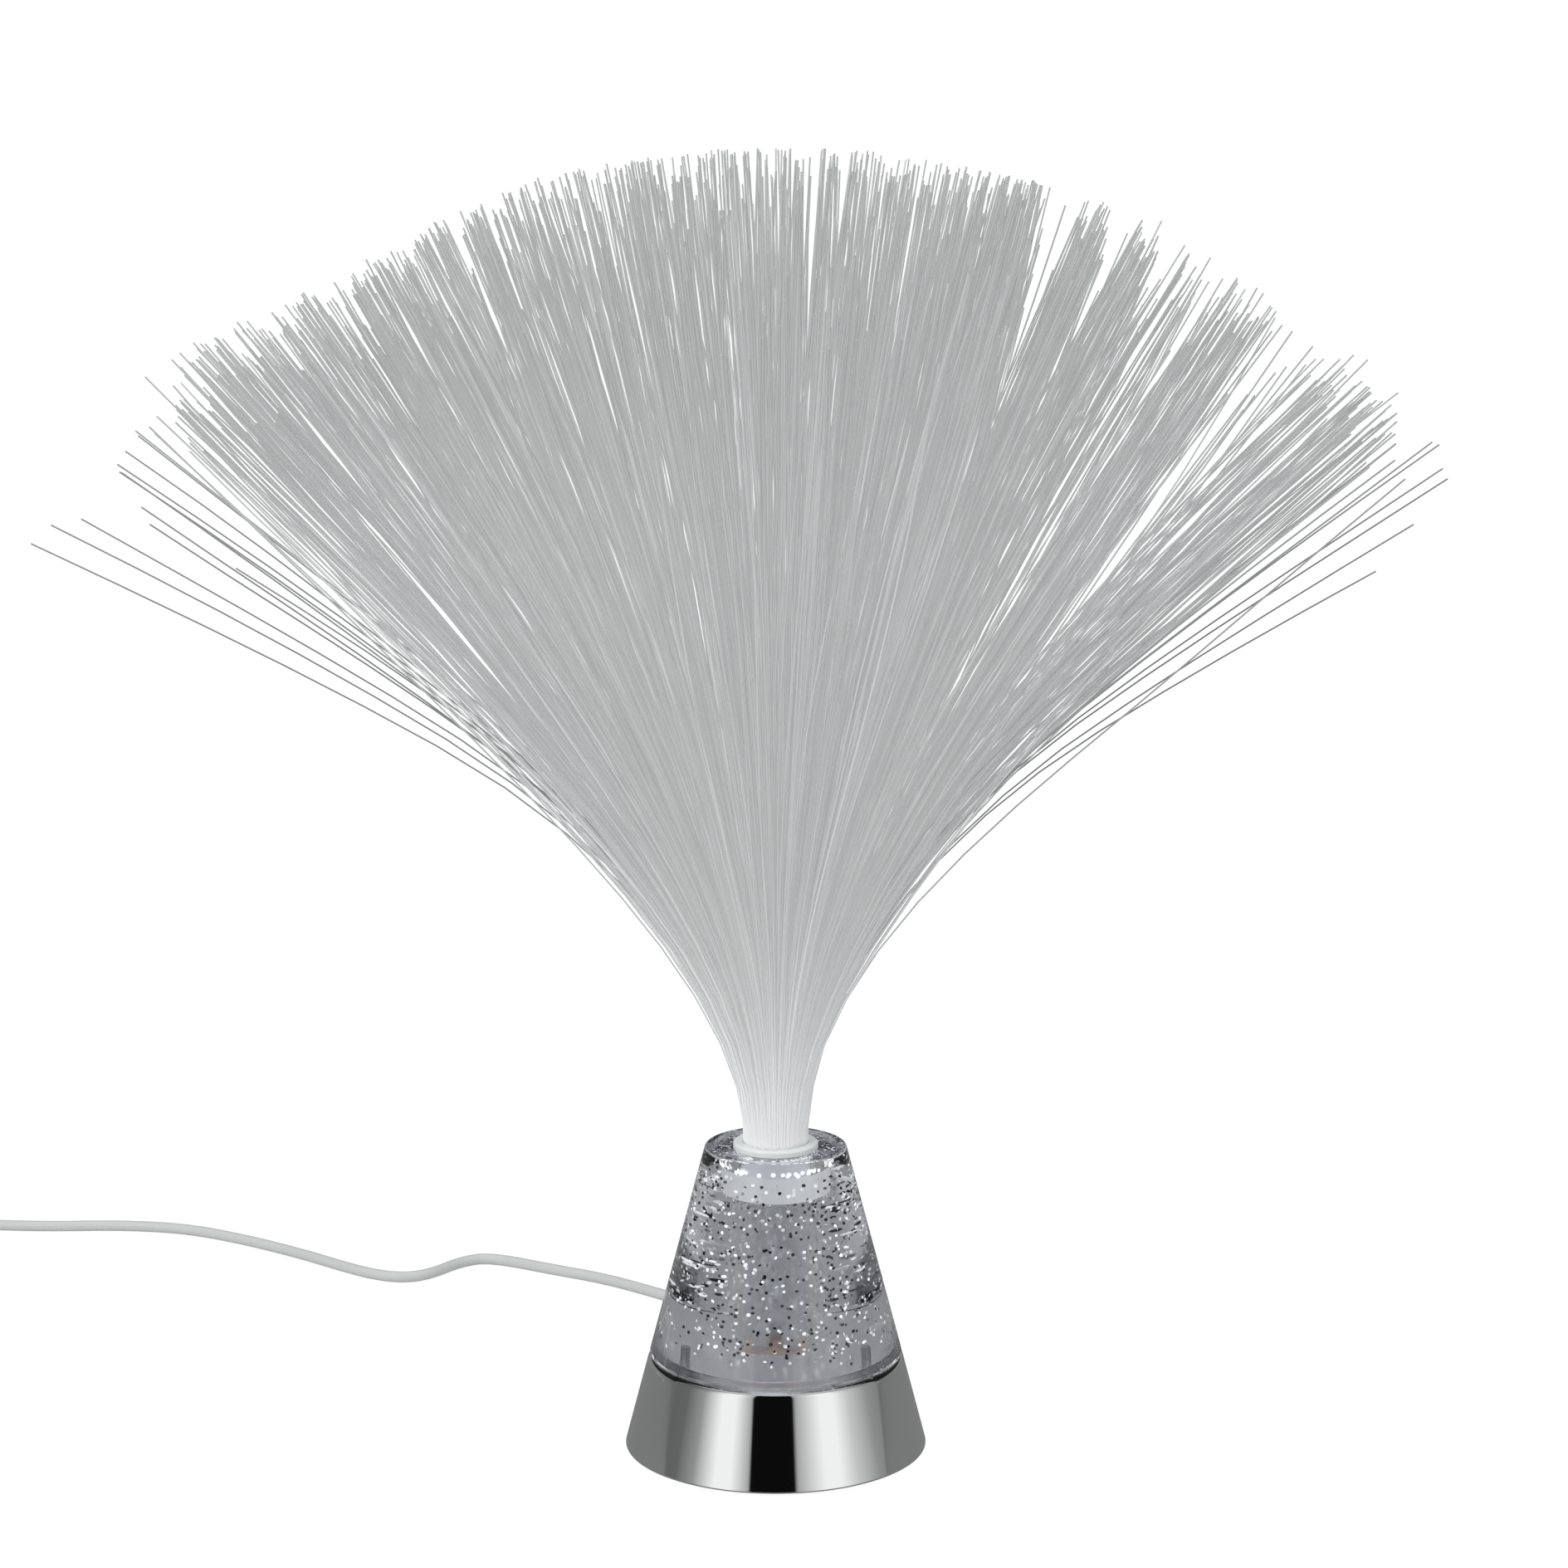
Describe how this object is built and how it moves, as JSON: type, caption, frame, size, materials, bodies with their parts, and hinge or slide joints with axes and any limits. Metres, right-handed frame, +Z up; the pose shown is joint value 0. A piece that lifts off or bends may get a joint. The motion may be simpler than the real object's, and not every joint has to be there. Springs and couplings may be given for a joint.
{
  "type": "fiber optic lamp",
  "caption": "Table lamp: a spray of bare optical fibres in a white collar, on a clear glitter cone over a chromed base with a rear rocker switch and a cord.",
  "frame": {"origin": "on the lamp's upright axis, at the surface it stands on (centre of the foot ring's underside)", "axes": "+Z up along the axis of cone and base; +Y to the back, where the cord leaves; the front is -Y; +X to the right seen from the front"},
  "size_m": [0.5374, 0.3763, 0.3721],
  "materials": {
    "chromed_plastic": "mirror bright plating",
    "clear_acrylic": "polished, silver flakes cast in",
    "white_collar": "translucent milky white",
    "fibre": "clear drawn strand, cut ends",
    "black_plastic": "fine satin",
    "rubber_foot": "matt",
    "steel_screw": "zinc plated",
    "board": "bare phenolic board",
    "lamp_epoxy": "clear epoxy",
    "electronics": "matt",
    "lead_red": "satin insulation",
    "contact_metal": "gold flash",
    "white_cord": "satin jacket",
    "white_rubber": "satin",
    "white_plastic": "satin moulding",
    "plug_steel": "nickel plated"
  },
  "bodies": {
    "base": {"base_shell": "chromed_plastic", "base_plate": "black_plastic", "foot_ring": "rubber_foot", "plate_screws": "steel_screw", "cone_screws": "steel_screw", "led_board": "board", "leds": "lamp_epoxy", "board_parts": "electronics", "lead_wires": "lead_red", "glitter_cone": "clear_acrylic", "switch_bezel": "black_plastic", "switch_terminals": "contact_metal", "strain_relief": "white_rubber", "cord_tail": "white_cord", "cord_clamp": "white_plastic", "clamp_screws": "steel_screw", "power_cord": "white_cord", "cord_coil": "white_cord", "cord_tie": "white_plastic", "plug_cord": "white_cord", "plug_grip": "white_plastic", "plug_shell": "plug_steel", "plug_tongue": "white_plastic", "plug_contacts": "contact_metal"},
    "fibre_head": {"fibre_ferrule": "white_collar", "bundle_root": "fibre", "fibres_inner": "fibre", "fibres_middle": "fibre", "fibres_outer": "fibre"},
    "rocker": {"switch_rocker": "black_plastic"}
  },
  "joints": [
    {"name": "fibre_head_lift", "type": "slide", "parent": "base", "child": "fibre_head", "axis": [0, 0, 1], "range_m": [0, 0.02]},
    {"name": "switch_rock", "type": "hinge", "parent": "base", "child": "rocker", "pos_m": [0.01974, 0.03418, 0.01425], "axis": [-0.866, 0.5, 0], "range_deg": [0, 24]}
  ]
}
